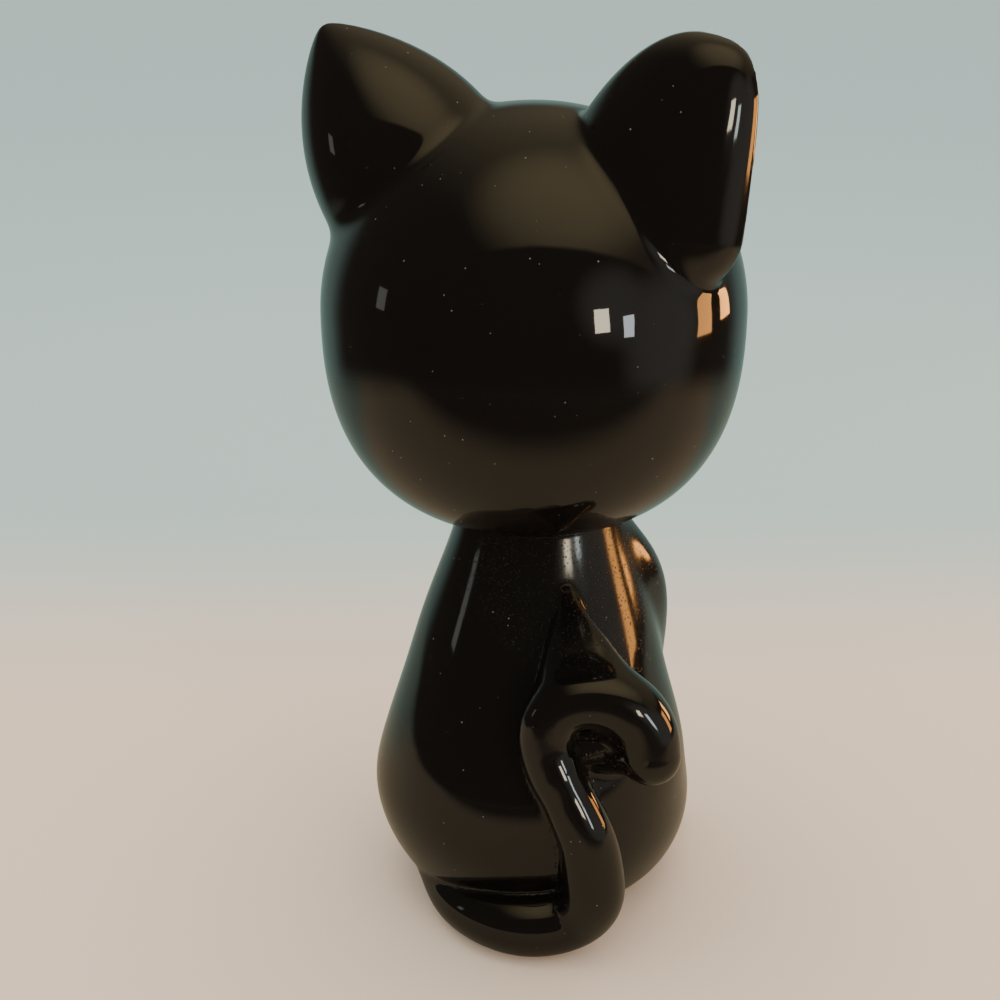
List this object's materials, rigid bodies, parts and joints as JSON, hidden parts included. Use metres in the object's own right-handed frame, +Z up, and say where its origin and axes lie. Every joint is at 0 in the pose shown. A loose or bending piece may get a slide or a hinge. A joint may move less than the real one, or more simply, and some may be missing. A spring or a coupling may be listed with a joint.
{
  "type": "ceramic cat figurine",
  "caption": "Seated cat figurine in glossy black glazed ceramic, with a big round head, pointed ears and a tail that curls round the back and hooks over",
  "frame": {"origin": "on the table, under the middle of the torso, which is the middle of the underside of the whole figurine's box", "axes": "+Z up, the cat faces -Y, its left side is +X"},
  "size_m": [0.0854, 0.0816, 0.1784],
  "materials": {
    "black_glaze": "mirror gloss black glaze with fine pinholes",
    "bare_clay": "unglazed fired clay, matt",
    "eye_enamel": "gloss overglaze enamel with a dark pupil",
    "nose_enamel": "gloss overglaze enamel"
  },
  "bodies": {
    "root": {"head": "black_glaze", "left_ear": "black_glaze", "right_ear": "black_glaze", "torso": "black_glaze", "base_plate": "bare_clay", "tail": "black_glaze", "tail_web": "black_glaze", "left_foreleg": "black_glaze", "right_foreleg": "black_glaze", "left_hind_leg": "black_glaze", "right_hind_leg": "black_glaze", "left_eye": "eye_enamel", "right_eye": "eye_enamel", "nose": "nose_enamel"}
  },
  "joints": []
}
